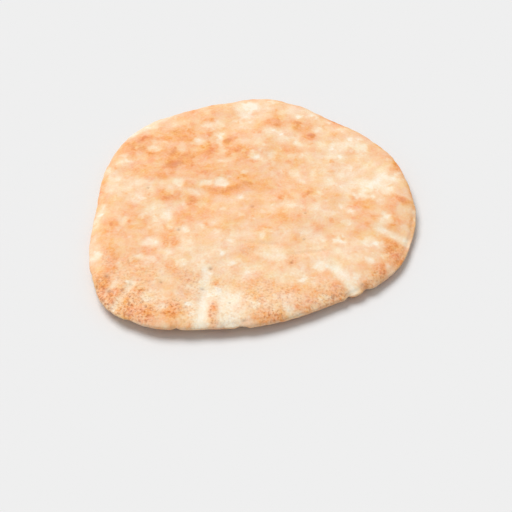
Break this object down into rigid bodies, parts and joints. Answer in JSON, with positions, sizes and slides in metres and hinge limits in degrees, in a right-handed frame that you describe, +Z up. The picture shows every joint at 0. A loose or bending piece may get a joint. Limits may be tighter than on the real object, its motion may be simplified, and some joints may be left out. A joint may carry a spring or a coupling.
{
  "type": "pita bread",
  "caption": "Round flat pocket bread with a toasted, dimpled crust, lying flat, to serve whole, fill or tear.",
  "frame": {"origin": "on the surface the bread lies on, under the middle of its box", "axes": "+Z up, square to the flat of the bread; +X and +Y lie in the flat, with the straightest edge of the outline towards -Y"},
  "size_m": [0.1778, 0.1816, 0.0111],
  "materials": {
    "crust": "matte"
  },
  "bodies": {
    "root": {"pita_bread": "crust"}
  },
  "joints": []
}
